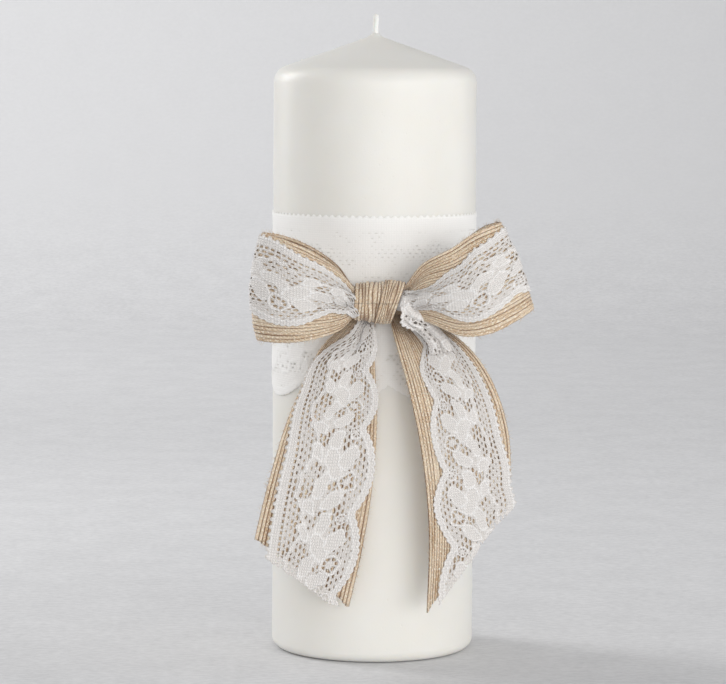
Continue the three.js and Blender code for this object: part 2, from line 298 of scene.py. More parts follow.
LEFT_TAIL = Ribbon(
    first=[
        (0.6, -42.2, 130.8), (0.2, -43.4, 118), (0.8, -44.2, 103), (1.2, -44.6, 88), (-0.4, -44.8, 66),
        (-4, -44.8, 43.5), (-8.6, -44.8, 22.5),
    ],
    second=[
        (-5.4, -42.2, 130.6), (-19, -44.4, 118.4), (-27, -45.6, 102.5), (-33.2, -45.6, 86.5),
        (-39, -45, 66), (-43.6, -44.4, 46.5), (-47, -43.8, 28.5),
    ],
    facing=1,
    crown=0.8,
    pleats=[(1.5, 0.2, [(0, 0.3), (0.1, 0.8), (0.3, 0.7), (0.55, 0.1), (1, 0)])],
    seed=13,
)

RIGHT_TAIL = Ribbon(
    first=[
        (5, -42.2, 130.8), (8, -45.8, 118.5), (12, -48.8, 104.5), (16.2, -49.6, 86.5),
        (19.2, -48.8, 66), (20.6, -47.6, 44.5), (20, -46.6, 20.8),
    ],
    second=[
        (13, -40.6, 131.6), (32, -40.6, 120.2), (43, -38.6, 106), (49.4, -36, 87), (50.2, -34.6, 67),
        (46.5, -34, 46), (44, -34, 22),
    ],
    facing=-1,
    crown=1.0,
    pleats=[(2, 0.1, [(0, 0.3), (0.1, 1.0), (0.35, 0.8), (0.6, 0.3), (1, 0.1)])],
    seed=14,
)


# ---- Corded jute ----

# A cord's section: (share of its pitch, share of its height), from one groove to the next.
CORD_SECTION = [(0.0, 0.0), (0.2, 0.66), (0.5, 1.0), (0.8, 0.66)]


def cord_ridges(edges, growth):
    """(places across, heights) of cords that lie between edges, each cord with its own growth."""
    places, heights = [], []
    for first, last, grow in zip(edges[:-1], edges[1:], growth):
        for share, rise in CORD_SECTION:
            places.append(first + share * (last - first))
            heights.append(rise * grow)
    return np.array(places + [edges[-1]]), np.array(heights + [0.0])


def loose_fibres(ribbon, end, count):
    """Thin fibres that stand off the ribbon's long edges and its cut end, each a closed three-sided
    spike. Gives back (points, faces, places on the cloth)."""
    rng = np.random.default_rng(ribbon.seed + 200)
    rings, sides = 4, 3
    steps = np.linspace(0, 1, rings)
    reach = FIBRE_REACH * rng.uniform(0.3, 1.0, (count, 1))
    edge = rng.integers(0, 2, (count, 1)).astype(float)
    along_edge = rng.uniform(0.03, 0.98, (count, 1)) * end(edge)
    side_u = along_edge + rng.uniform(-1.2, 1.2, (count, 1)) * reach / ribbon.length * steps
    side_v = edge + (2 * edge - 1) * reach / JUTE_WIDTH * (0.2 * steps + 0.8 * steps**2)
    cut_v = rng.uniform(0.2, 0.98, (count, 1)) + 0 * steps
    cut_u = end(cut_v) - 0.01 + (0.01 + reach / ribbon.length) * steps
    from_side = (np.arange(count)[:, None] % 4 > 0) | (end(cut_v) > 0.999)
    u, v = np.where(from_side, side_u, cut_u), np.where(from_side, side_v, cut_v)
    line = ribbon.at(u, v, 0.1 + rng.uniform(-0.5, 0.5, (count, 1)) * reach * steps**2)
    ahead = line[:, -1] - line[:, 0]
    ahead /= np.linalg.norm(ahead, axis=1, keepdims=True)
    first = np.cross(ahead, rng.normal(size=(count, 3)))
    first /= np.linalg.norm(first, axis=1, keepdims=True)
    second = np.cross(ahead, first)
    turn = np.radians([0, 120, 240])[:, None]
    ring = np.cos(turn) * first[:, None] + np.sin(turn) * second[:, None]
    size = FIBRE_RADIUS * (1 - 0.75 * steps)[:, None, None]
    points = line[:, :, None] + size * ring[:, None]
    corners = rings * sides
    spike = grid_faces(rings, sides, closed_columns=True)
    spike += [[0, 1, 2], [corners - 1, corners - 2, corners - 3]]
    faces = [[i + corners * k for i in face[::-1]] for k in range(count) for face in spike]
    run = np.repeat(np.stack([u * ribbon.length, v * JUTE_WIDTH], -1).reshape(-1, 2), sides, axis=0)
    return points.reshape(-1, 3), faces, run


def jute_sheet(name, ribbon, end, relief):
    """Corded ribbon with both faces ridged, from its start to u = end(v). relief, from 0 to 1, is how deep
    its grooves are, and near the knot the cords are darkened by a painted shadow of the knot."""
    rng = np.random.default_rng(ribbon.seed + 100)
    place, height = cord_ridges(np.arange(CORD_COUNT + 1.0), rng.uniform(0.75, 1.15, CORD_COUNT))
    v = place / CORD_COUNT
    rows = int(ribbon.length / JUTE_ROW * DETAIL)
    fray = 0.004 * ripple(v * 300, v * 0, ribbon.seed + 5)
    share = np.linspace(0, 1, rows)[:, None]
    u = (end(v)[None, :] + fray) * share
    vs = np.broadcast_to(v, u.shape)
    gap = np.floor(vs * CORD_COUNT + 0.5)
    depth = relief + 0.4 * ripple(u * ribbon.length, gap * 37.0, ribbon.seed + 9, longest=60, shortest=18)
    depth = np.clip(depth, 0.3, 1.2)
    rise = CORD_HEIGHT * (height[None, :] * depth + (1 - depth) * 0.8)
    offset = JUTE_HALF_THICKNESS + rise
    layers = [ribbon.at(u, vs, facing * offset).reshape(-1, 3) for facing in (1, -1)]
    columns = len(v)
    count = rows * columns
    quads = np.array(grid_faces(rows, columns))
    faces = quads.tolist() + (quads[:, ::-1] + count).tolist()
    rim = (
        [(0, j, 0, j + 1) for j in range(columns - 1)]
        + [(i, columns - 1, i + 1, columns - 1) for i in range(rows - 1)]
        + [(rows - 1, j, rows - 1, j - 1) for j in range(columns - 1, 0, -1)]
        + [(i, 0, i - 1, 0) for i in range(rows - 1, 0, -1)]
    )
    for i, j, k, m in rim:
        a, b = i * columns + j, k * columns + m
        faces.append([a, b, b + count, a + count])
    if ribbon.facing > 0:
        faces = [f[::-1] for f in faces]
    run = np.stack([u * ribbon.length, vs * JUTE_WIDTH], -1).reshape(-1, 2)
    # Painted shadow of the knot: from the ribbon's start to about u = 0.28, its shade, and so its colour, is
    # darkened.
    near_knot_shade = 0.5 + 0.5 * smooth(u, 0.0, 0.28)
    # Painted shade in the grooves: low places between the cords get a low shade.
    shade = (np.clip(rise / CORD_HEIGHT, 0, 1) * near_knot_shade).ravel()
    spikes, spike_faces, spike_run = loose_fibres(ribbon, end, FIBRE_COUNT)
    faces += [[i + 2 * count for i in f] for f in spike_faces]
    points = np.vstack(layers + [spikes])
    shades = np.concatenate([shade, shade, np.full(len(spikes), 0.9)])
    piece = new_object(name, points, faces, JUTE, np.vstack([run, run, spike_run]), shades)
    return piece


# ---- Lace ----

# The bow's lace and its edges, in mm: the wavy edge has scallops, picots and a border between two ropes,
# and the straight edge a row of picots on a rope, a woven heading and a ladder of square holes.
LACE_REPEAT = 26.0
SCALLOP_DEPTH = 4.4
PICOT_SPACING = 2.17
PICOT_DEPTH = 0.55
BORDER_HALF_WIDTH = 1.4
ROPE_HALF_WIDTH = 0.4
ROPE_TWIST = 1.65
EDGE_PICOT_SPACING = 2.6
EDGE_PICOT_RADIUS = 0.72
EDGE_ROPE_TWIST = 1.3
RUNG_SPACING = 1.93
RUNG_HALF_WIDTH = 0.42

# How far the threads' faces stand out, in mm, and how far in from a hole they are rounded
SOLID_RELIEF = 0.2
NET_RELIEF = 0.13
CORD_RELIEF = 0.24
ROUNDING = 0.3
# The back's relief as a share of the front's, and the height in mm at which a face is painted fully lit;
# lower faces get painted shade
BACK_RELIEF = 0.6
FULL_RELIEF = 0.42


def from_nearest(place, spacing):
    """The distance to the nearest of the marks that lie at a regular spacing from 0."""
    return (place + spacing / 2) % spacing - spacing / 2


def strip(distance, half_width):
    """How far inside a strip a distance from its middle line is."""
    return half_width - np.abs(distance)


def ellipse(x, y, centre, half_length, half_width, angle):
    """How far inside an ellipse, in mm, x and y are."""
    c, s = math.cos(math.radians(angle)), math.sin(math.radians(angle))
    dx, dy = x - centre[0], y - centre[1]
    a, b = dx * c + dy * s, dy * c - dx * s
    return (1 - np.hypot(a / half_length, b / half_width)) * half_width


def net(s, t, openness, column=1.45, row=2.4, hole=(0.88, 0.44)):
    """A ground of staggered oval holes. openness, 0 to 1, is their size, and below a third they close."""
    nearest = np.full(np.broadcast(s, t).shape, np.inf)
    for shift in (-1, 0, 1):
        j = np.round(t / column) + shift
        offset = np.where(j % 2 == 0, 0.0, row / 2)
        dx = from_nearest(s - offset, row)
        nearest = np.minimum(nearest, np.hypot(dx / hole[0], (t - j * column) / hole[1]))
    closed = np.where(openness < 0.33, 0.5, 0.0)
    return (nearest - openness) * hole[1] + closed


def scallop(s, repeat, depth):
    """The wavy edge's place across the lace, with its picots."""
    x = (s / repeat) % 1.0 - 0.5
    lobe = depth * (1 - np.abs(np.cos(math.pi * x)) ** 0.85)
    return lobe + PICOT_DEPTH * (1 - np.abs(np.cos(math.pi * s / PICOT_SPACING)))


def ring_flower(x, t, centre, radius):
    """(inside the flower's outline, its threads, its raised cord)."""
    dx, dy = x - centre[0], t - centre[1]
    r, angle = np.hypot(dx, dy), np.arctan2(dy, dx)
    spokes = 7
    turn = (angle * spokes / (2 * math.pi)) % 1.0 - 0.5
    spoke = 0.3 - np.abs(turn) * 2 * math.pi / spokes * r
    rim = strip(r - radius * 0.86, radius * 0.17)
    hub = radius * 0.42 - r
    return radius - r, np.maximum.reduce([rim, hub, spoke]), strip(r - radius * 0.9, 0.3)


# Motifs in one repeat: (centre along, centre across, half length, half width, angle).
LEAVES = [
    (-4.4, 9.4, 4.4, 2.8, 38),
    (-2.2, 14.6, 5.4, 2.6, -22),
    (9.0, 12.8, 4.4, 2.4, 58),
    (-9.6, 14.4, 4.2, 2.3, 24),
    (4.6, 17.4, 4.8, 2.2, 22),
    (-6.4, 20.4, 3.6, 1.7, -26),
    (11.4, 20.2, 3.4, 1.7, -40),
]
# (centre along, centre across, radius)
FLOWERS = [(3.2, 9.2, 3.4), (-11.4, 8.4, 2.0)]
# Leaves less than about this far apart, in mm, run together.
LEAF_JOIN = 0.8


def motifs(x, y):
    """(solid threads, raised cords) of one repeat."""
    vine = 22.4 + 1.8 * np.sin(2 * math.pi * x / LACE_REPEAT + 0.5) + 0.5 * np.abs(np.sin(math.pi * x / 4.3))
    solid = strip(y - vine, 0.7)
    raised = strip(y - vine - 0.45, 0.28)
    together = np.full(x.shape, 1e-9)
    for cx, cy, length, breadth, angle in LEAVES:
        leaf = ellipse(x, y, (cx, cy), length, breadth, angle)
        together += np.exp(leaf / LEAF_JOIN)
        outline = strip(leaf - 0.28, 0.27)
        raised = np.where(leaf > 0.55, outline, np.maximum(raised, outline))
    solid = np.maximum(solid, LEAF_JOIN * np.log(together))
    for cx, cy, radius in FLOWERS:
        inside, threads, cord = ring_flower(x, y, (cx, cy), radius)
        solid = np.where(inside > 0, threads, solid)
        raised = np.where(inside > -0.4, cord, raised)
    return solid, raised


def lace_pattern(s, t, width, repeat, scale, openness):
    """(thread, relief) at s mm along the lace and t mm across it from its wavy edge. thread is above 0
    where there is thread, in mm from the nearest hole, and relief is how far a face stands out, in mm.
    scale is the motifs' size, and openness the least and the most that the net is open."""
    s, t = np.broadcast_arrays(s, t)
    drift = 0.65
    drift_s = drift * ripple(s, t, 51, waves=7, longest=9, shortest=3)
    drift_t = drift * ripple(s, t, 52, waves=7, longest=9, shortest=3)
    edge = scallop(s, repeat, SCALLOP_DEPTH * scale)
    patch = 0.5 + 0.5 * ripple(s, t, 31, waves=6, longest=16, shortest=7)
    nowhere = np.full(s.shape, -9.0)
    solid = nowhere
    raised = nowhere
    flowers = np.zeros(s.shape, bool)
    for shift in (-1, 0, 1):
        x = ((s + drift_s) / repeat % 1.0 * repeat - repeat / 2 + shift * repeat) / scale
        y = (t + drift_t) / scale
        inside, cords = motifs(x, y)
        solid = np.maximum(solid, inside * scale)
        if shift == 0:
            for cx, cy, radius in FLOWERS:
                flowers |= np.hypot(x - cx, y - cy) < radius
            # At a larger scale the flowers' threads are thicker
            solid = np.where(flowers, inside * scale + 0.7 * (scale - 1), solid)
        raised = np.maximum(raised, cords)
    beside = smooth(solid, -2.4, -0.3) * (1 - flowers)
    open_here = openness[0] + (openness[1] - openness[0]) * np.clip(patch, 0, 1) + 0.35 * beside
    thread = np.where(flowers, nowhere, net(s + 0.3 * drift_s, t + 0.3 * drift_t, open_here))

    # The wavy border: a braid with a rope along each side
    solid = np.maximum(solid, strip(t - edge - BORDER_HALF_WIDTH, BORDER_HALF_WIDTH))
    knots = 0.6 + 0.4 * np.cos(2 * math.pi * s / ROPE_TWIST)
    for inset in (0.45, 2.3):
        raised = np.maximum(raised, strip(t - edge - inset, ROPE_HALF_WIDTH) * knots)

    # The straight edge: a heading, with a rope and picots outside it, and a ladder and a tape inside it
    rungs = strip(from_nearest(s, RUNG_SPACING), RUNG_HALF_WIDTH)
    ladder = strip(t - (width - 4.4), 0.45 if scale == 1 else -1)
    thread = np.where(ladder > 0, rungs, thread)
    for inset, half_width in ((2.4, 1.55), (5.2, 0.35)):
        solid = np.maximum(solid, strip(t - (width - inset), half_width))
    picot = np.hypot(from_nearest(s, EDGE_PICOT_SPACING), t - (width - 0.7))
    solid = np.maximum(solid, EDGE_PICOT_RADIUS - picot)
    rope = 0.55 + 0.45 * np.cos(2 * math.pi * s / EDGE_ROPE_TWIST)
    raised = np.maximum(raised, strip(t - width + 1.3, 0.5) * rope)

    thread = np.where((t > width - 1.2) | (t < edge + 1), nowhere, thread)
    thread = np.maximum(thread, solid)
    weave = 0.05 * np.sin(2 * math.pi * s / 1.15) * np.sin(2 * math.pi * t / 1.0)
    relief = np.where(solid > 0, SOLID_RELIEF + weave, NET_RELIEF)
    return thread, relief + CORD_RELIEF * np.clip(raised / 0.25, 0, 1)


# Polygons of a marching square for each set of corners in thread. They name corners 0 to 3, counterclockwise
# from the lower left, and the edges 4 to 7, each edge after its first corner.
SQUARES = {
    1: [(0, 4, 7)],
    2: [(1, 5, 4)],
    3: [(0, 1, 5, 7)],
    4: [(2, 6, 5)],
    5: [(0, 4, 7), (2, 6, 5)],
    6: [(1, 2, 6, 4)],
    7: [(0, 1, 2, 6, 7)],
    8: [(3, 7, 6)],
    9: [(0, 4, 6, 3)],
    10: [(1, 5, 4), (3, 7, 6)],
    11: [(0, 1, 5, 6, 3)],
    12: [(2, 3, 7, 5)],
    13: [(0, 4, 5, 2, 3)],
    14: [(1, 2, 3, 7, 4)],
    15: [(0, 1, 2, 3)],
}


def joined_threads(inside):
    """Only the threads joined to those of the half with the straight edge, to leave out loose crumbs."""
    reached = np.zeros_like(inside)
    middle = inside.shape[1] // 2
    seeds, growths = 40, 40
    starts = np.argwhere(inside[:, middle:])
    for i, j in starts[:: max(1, len(starts) // seeds)]:
        reached[i, j + middle] = True
    while True:
        grown = reached.copy()
        for _ in range(growths):
            wider = grown.copy()
            wider[1:] |= grown[:-1]
            wider[:-1] |= grown[1:]
            wider[:, 1:] |= grown[:, :-1]
            wider[:, :-1] |= grown[:, 1:]
            grown = wider & inside
        if (grown == reached).all():
            return grown
        reached = grown


def crease_outlines(mesh, first):
    """Sharp edges between points numbered from first on, which lie on the outlines of holes."""
    ends = np.empty(2 * len(mesh.edges), np.int64)
    mesh.edges.foreach_get("vertices", ends)
    sharp = (ends.reshape(-1, 2) >= first).all(1)
    mesh.attributes.new("sharp_edge", "BOOLEAN", "EDGE").data.foreach_set("value", sharp)


def openwork(name, thread, relief, place, material, run, flip=False):
    """A lace object with real holes, and the number of its grid's cells that are thread. thread and
    relief lie on the grid; place(i, j, height) gives points in mm for grid places, which may be
    fractions, and run(i, j) their place on the flat lace. Threads are rounded in section."""
    rows, columns = thread.shape
    inside = joined_threads(thread > 0)
    thread = np.where(inside, np.maximum(thread, 0.02), np.minimum(thread, -0.02))
    i, j = np.nonzero(inside)
    number = np.full(thread.shape, -1)
    number[i, j] = np.arange(len(i))
    round_off = np.sqrt(np.clip(thread[i, j] / ROUNDING, 0, 1))
    height = relief[i, j] * round_off
    crossings_i, crossings_j = [], []
    crossing_number = {}
    count = 2 * len(i)
    for key, (di, dj) in {"along": (1, 0), "across": (0, 1)}.items():
        a = thread[: rows - di, : columns - dj]
        b = thread[di:, dj:]
        ci, cj = np.nonzero((a > 0) != (b > 0))
        share = np.clip(a[ci, cj] / (a[ci, cj] - b[ci, cj]), 0.15, 0.85)
        table = np.full(a.shape, -1)
        table[ci, cj] = count + np.arange(len(ci))
        count += len(ci)
        crossings_i.append(ci + di * share)
        crossings_j.append(cj + dj * share)
        crossing_number[key] = table
    ci, cj = np.concatenate(crossings_i), np.concatenate(crossings_j)
    all_i = np.concatenate([i, i, ci]).astype(float)
    all_j = np.concatenate([j, j, cj]).astype(float)
    lift = np.concatenate([height, -BACK_RELIEF * height, np.zeros(len(ci))])
    points = place(all_i, all_j, lift)
    corner = [inside[:-1, :-1], inside[1:, :-1], inside[1:, 1:], inside[:-1, 1:]]
    case = sum(c.astype(int) << k for k, c in enumerate(corner))
    faces = []
    for value, polygons in SQUARES.items():
        i0, j0 = np.nonzero(case == value)
        if not len(i0):
            continue
        ends = [
            number[i0, j0],
            number[i0 + 1, j0],
            number[i0 + 1, j0 + 1],
            number[i0, j0 + 1],
            crossing_number["along"][i0, j0],
            crossing_number["across"][i0 + 1, j0],
            crossing_number["along"][i0, j0 + 1],
            crossing_number["across"][i0, j0],
        ]
        for polygon in polygons:
            upper = np.stack([ends[k] for k in polygon], 1)
            lower = np.stack([ends[k] + (len(i) if k < 4 else 0) for k in polygon], 1)[:, ::-1]
            faces += (upper[:, ::-1] if flip else upper).tolist()
            faces += (lower[:, ::-1] if flip else lower).tolist()
    # Painted light and shade: raised faces lighter, the low ground and the rims of holes darker, and the
    # back all in painted shade.
    shade = np.concatenate([height, 0 * height, np.zeros(len(ci))]) / FULL_RELIEF
    piece = new_object(name, points, faces, material, run(all_i, all_j), np.clip(shade, 0, 1))
    crease_outlines(piece.data, 2 * len(i))
    return piece, int(inside.sum())


def lace_ribbon(name, ribbon, start, end, low, high, phase, width=LACE_WIDTH, puff=None):
    """Lace laid on a ribbon, from u = start to u = end(v), its wavy edge at v = low(u) and its straight
    edge at v = high(u). phase shifts its pattern, and puff, (height, u, reach in u), lifts it near the
    knot. Gives back the lace and the area of its threads, in mm2."""
    length = ribbon.length
    end_margin, edge_margin, both_edges = 3.0, 0.6, 1.6
    rows = int((length + 2 * end_margin) / LACE_CELL) + 1
    columns = int((width + both_edges) / LACE_CELL) + 1
    s = (np.arange(rows) * LACE_CELL - end_margin)[:, None]
    t = (np.arange(columns) * LACE_CELL - edge_margin)[None, :]
    thread, relief = lace_pattern(s + phase, t, width, LACE_REPEAT, scale=1.0, openness=(0.3, 0.95))
    u = np.broadcast_to(s / length, thread.shape)
    across = np.broadcast_to(t / width, thread.shape)
    v = low(u) + (high(u) - low(u)) * across
    ragged = 0.35 * ripple(t * 4, t * 0, ribbon.seed + 3, longest=12, shortest=3)
    thread = np.minimum(thread, (end(v) - u) * length + ragged)
    thread = np.minimum(thread, (u - start) * length)

    def place(i, j, height):
        u = np.clip((i * LACE_CELL - end_margin) / length, 0, 1)
        share = (j * LACE_CELL - edge_margin) / width
        v = low(u) + (high(u) - low(u)) * share
        loose = 0.12 * (1 + ripple(i * LACE_CELL, j * LACE_CELL, ribbon.seed + 21, longest=30, shortest=8))
        if puff:
            size, middle, reach = puff
            arch = np.sin(math.pi * np.clip(share, 0, 1)) ** 0.6
            loose = loose + size * np.exp(-(((u - middle) / reach) ** 2)) * arch
        return ribbon.at(u, v, LACE_LIFT + loose + height)

    def run(i, j):
        return np.stack([i * LACE_CELL, j * LACE_CELL], -1)

    piece, cells = openwork(name, thread, relief, place, WHITE_LACE, run, flip=ribbon.facing > 0)
    return piece, cells * LACE_CELL**2


# ---- Materials ----


class Nodes:
    """A short way to write a material's nodes."""

    def __init__(self, name):
        self.material = bpy.data.materials.new(name)
        self.material.use_nodes = True
        self.tree = self.material.node_tree
        self.shader = self.tree.nodes["Principled BSDF"]

    def add(self, kind, inputs=(), **settings):
        """A node, with its inputs joined or set."""
        node = self.tree.nodes.new(kind)
        for key, value in settings.items():
            setattr(node, key, value)
        for key, value in dict(inputs).items():
            self.join(value, node.inputs[key])
        return node

    def join(self, value, socket):
        if isinstance(value, bpy.types.NodeSocket):
            self.tree.links.new(value, socket)
        else:
            socket.default_value = value

    def math(self, operation, a, b=0.0, c=0.0, clamp=False):
        inputs = {0: a, 1: b, 2: c}
        return self.add("ShaderNodeMath", inputs, operation=operation, use_clamp=clamp).outputs[0]

    def ramp(self, value, stops):
        node = self.add("ShaderNodeValToRGB", {"Fac": value})
        elements = node.color_ramp.elements
        while len(elements) < len(stops):
            elements.new(0.5)
        for element, (place, colour) in zip(elements, stops):
            element.position = place
            element.color = (*colour, 1.0) if len(colour) == 3 else colour
        return node.outputs["Color"]

    def mix(self, share, a, b, blend="MIX"):
        node = self.add("ShaderNodeMix", data_type="RGBA", blend_type=blend)
        for key, value in ((0, share), (6, a), (7, b)):
            if isinstance(value, tuple) and len(value) == 3:
                value = (*value, 1.0)
            self.join(value, node.inputs[key])
        return node.outputs[2]

    def shaded(self, colour, value, stops):
        """A colour darkened by a ramp of a value."""
        return self.mix(1.0, colour, self.ramp(value, stops), "MULTIPLY")

    def noise(self, vector, scale, detail=2.0, roughness=0.5):
        inputs = {"Vector": vector, "Scale": scale, "Detail": detail, "Roughness": roughness}
        return self.add("ShaderNodeTexNoise", inputs).outputs["Fac"]

    def stretched(self, vector, scale):
        return self.add("ShaderNodeMapping", {"Vector": vector, "Scale": scale}).outputs[0]

    def run(self):
        return self.add("ShaderNodeAttribute", attribute_name="run").outputs["Vector"]

    def shade(self):
        return self.add("ShaderNodeAttribute", attribute_name="shade").outputs["Fac"]

    def place(self):
        return self.add("ShaderNodeTexCoord").outputs["Object"]

    def bump(self, height, strength, distance):
        inputs = {"Height": height, "Strength": strength, "Distance": distance}
        return self.add("ShaderNodeBump", inputs).outputs["Normal"]

    def finish(self, **sockets):
        """The material, with the shader's inputs joined or set."""
        for key, value in sockets.items():
            name = key.replace("_", " ").title().replace("Ior", "IOR")
            if isinstance(value, tuple) and len(value) == 3 and name != "Subsurface Radius":
                value = (*value, 1.0)
            self.join(value, self.shader.inputs[name])
        return self.material


def wax_material(name, colour, warm, roughness):
    """Satin wax: faint mottling, a few specks in the skin, and light that goes a little way in."""
    n = Nodes(name)
    place = n.place()
    mottle = n.noise(place, 38.0, 3.0)
    specks = n.noise(place, 620.0, 2.0, 0.6)
    fine = n.noise(place, 1500.0, 2.0)
    tint = n.mix(n.ramp(mottle, [(0.35, (0, 0, 0)), (0.7, (1, 1, 1))]), colour, warm)
    rough = n.math("MULTIPLY_ADD", mottle, 0.14, roughness - 0.07)
    pits = n.math("SUBTRACT", 0.34, specks, clamp=True)
    height = n.math("ADD", n.math("MULTIPLY", pits, -6.0), n.math("MULTIPLY", fine, 0.25))
    return n.finish(
        base_color=tint,
        roughness=rough,
        normal=n.bump(height, 0.18, 0.0004),
        subsurface_weight=0.25,
        subsurface_radius=(0.9, 0.75, 0.55),
        subsurface_scale=0.004,
        specular_ior_level=0.45,
    )


def jute_material():
    """Tan cords of fine straw-like fibre, with painted shade in the gaps between cords and golden glints."""
    n = Nodes("jute_cords")
    run, rise = n.run(), n.shade()
    fibres = n.noise(n.stretched(run, (0.5, 6.0, 1.0)), 1.0, 3.0, 0.6)
    cords = n.noise(n.stretched(run, (0.05, 0.72, 1.0)), 1.0, 1.0)
    flecks = n.noise(n.stretched(run, (1.3, 2.8, 1.0)), 1.0, 1.5)
    lay = n.add("ShaderNodeMapping", {"Vector": run, "Rotation": (0.0, 0.0, 0.9)}).outputs[0]
    strands = n.add("ShaderNodeTexWave", {"Vector": lay, "Scale": 0.3, "Distortion": 6.0, "Detail": 2.0})
    twist = strands.outputs["Fac"]
    straw = n.ramp(
        fibres,
        [(0.3, (0.42, 0.27, 0.15)), (0.5, (0.745, 0.56, 0.375)), (0.69, (0.98, 0.845, 0.675))],
    )
    patches = n.noise(n.stretched(run, (0.07, 0.16, 1.0)), 1.0, 1.0)
    straw = n.shaded(straw, patches, [(0.36, (0.80, 0.73, 0.64)), (0.58, (1, 1, 1))])
    straw = n.shaded(straw, twist, [(0.1, (0.87, 0.83, 0.78)), (0.6, (1, 1, 1))])
    pale = n.ramp(cords, [(0.38, (0, 0, 0)), (0.66, (0.6, 0.6, 0.6))])
    straw = n.mix(pale, straw, (0.90, 0.78, 0.615))
    glint = n.ramp(flecks, [(0.54, (0, 0, 0)), (0.63, (1, 1, 1))])
    straw = n.mix(glint, straw, (1.0, 0.91, 0.76))
    # Painted shade: where the shade attribute is low, in the grooves between cords and near the knot, the
    # colour is darkened.
    colour = n.shaded(straw, rise, [(0.1, (0.29, 0.18, 0.11)), (0.68, (1, 1, 1))])
    rough = n.math("MULTIPLY_ADD", glint, -0.25, 0.58)
    height = n.math("ADD", fibres, n.math("MULTIPLY", twist, 0.6))
    return n.finish(
        base_color=colour,
        roughness=rough,
        normal=n.bump(height, 0.8, 0.0003),
        subsurface_weight=0.2,
        subsurface_radius=(1.0, 0.75, 0.5),
        subsurface_scale=0.0012,
        sheen_weight=0.2,
        specular_ior_level=0.6,
    )


def lace_material(name, thread, shadow, dimple_shade, depth):
    """Soft cotton-nylon thread: painted lighter on raised cords and darker, as painted shade, on the low
    ground and the rims of holes, with the fine dimples of its weave bumped and painted in shade.
    """
    n = Nodes(name)
    run, rise = n.run(), n.shade()
    waves = {"Vector": run, "Distortion": 1.2, "Detail Scale": 2.0}
    x = n.add("ShaderNodeTexWave", {**waves, "Scale": 0.33})
    y = n.add("ShaderNodeTexWave", {**waves, "Scale": 0.38}, bands_direction="Y")
    weave = n.math("MULTIPLY", x.outputs["Fac"], y.outputs["Fac"])
    grain = n.noise(n.stretched(run, (2.2, 2.2, 1.0)), 1.0, 2.0)
    dimples = n.math("ADD", weave, n.math("MULTIPLY", grain, 0.8))
    # Painted light and shade by relief: the shadow colour low down, the thread colour on raised cords.
    stand = n.ramp(rise, [(0.33, (0, 0, 0)), (0.46, (0.3, 0.3, 0.3)), (0.85, (1, 1, 1))])
    tint = n.mix(stand, shadow, thread)
    # Painted shade: the weave's dimples darken the colour, by as much as the share passed in for them.
    tint = n.shaded(tint, dimples, [(0.3, (1 - dimple_shade,) * 3), (0.85, (1, 1, 1))])
    rough = n.math("MULTIPLY_ADD", grain, 0.2, 0.55)
    return n.finish(
        base_color=tint,
        roughness=rough,
        normal=n.bump(dimples, depth, 0.00025),
        subsurface_weight=0.1,
        subsurface_radius=(0.9, 0.85, 0.8),
        subsurface_scale=0.001,
        sheen_weight=0.1,
    )


def cotton_material():
    """Waxed cotton strands."""
    n = Nodes("wick_cotton")
    place = n.place()
    strands = n.noise(n.stretched(place, (900, 900, 250)), 1.0, 3.0)
    tint = n.ramp(strands, [(0.3, (0.80, 0.785, 0.75)), (0.65, (0.94, 0.93, 0.90))])
    rough = n.math("MULTIPLY_ADD", strands, 0.2, 0.6)
    bump = n.bump(strands, 0.5, 0.0003)
    return n.finish(base_color=tint, roughness=rough, normal=bump, subsurface_weight=0.1)


def metal_material(name, colour, roughness, stretch):
    """Scratched metal; stretch is how fine its scratches are along X, Y and Z."""
    n = Nodes(name)
    scratches = n.noise(n.stretched(n.place(), stretch), 1.0, 3.0)
    tint = n.mix(scratches, tuple(0.75 * c for c in colour), colour)
    rough = n.math("MULTIPLY_ADD", scratches, 0.25, roughness)
    return n.finish(base_color=tint, roughness=rough, metallic=1.0, normal=n.bump(scratches, 0.2, 0.0001))


def film_material(name, colour, roughness, bumpiness):
    """Blotchy tape or glue."""
    n = Nodes(name)
    blotches = n.noise(n.place(), 260.0, 3.0)
    tint = n.mix(blotches, tuple(0.88 * c for c in colour), colour)
    rough = n.math("MULTIPLY_ADD", blotches, 0.2, roughness)
    return n.finish(base_color=tint, roughness=rough, normal=n.bump(blotches, bumpiness, 0.0004))


DIPPED_WAX = wax_material("dipped_wax", (0.86, 0.845, 0.80), (0.84, 0.82, 0.765), 0.40)
PRESSED_WAX = wax_material("pressed_wax", (0.82, 0.79, 0.72), (0.78, 0.75, 0.68), 0.62)
JUTE = jute_material()
WHITE_LACE = lace_material("white_lace", (0.985, 0.957, 0.934), (0.815, 0.77, 0.73), 0.2, 0.8)
IVORY_LACE = lace_material("ivory_lace", (0.985, 0.975, 0.95), (0.975, 0.96, 0.93), 0.03, 0.15)
COTTON = cotton_material()
TINPLATE = metal_material("tinplate", (0.72, 0.73, 0.75), 0.28, (90, 900, 90))
GILT_WIRE = metal_material("gilt_wire", (0.62, 0.48, 0.27), 0.32, (300, 300, 300))
CLEAR_TAPE = film_material("clear_tape", (0.80, 0.79, 0.74), 0.25, 0.2)
SET_GLUE = film_material("set_glue", (0.82, 0.78, 0.66), 0.25, 0.5)


# ---- Candle ----

BEAD_SEED = 7
# Wax beads: (distance from the wick, angle round it in degrees, size).
BEADS = [
    (2.0, -20, 0.42), (2.6, 200, 0.36), (5.4, 186, 0.40), (6.2, 170, 0.28), (27.5, 182, 0.34),
    (30.0, 174, 0.26), (21.0, -38, 0.24), (24.5, -47, 0.22), (12.0, -30, 0.20), (17.0, 120, 0.26),
]


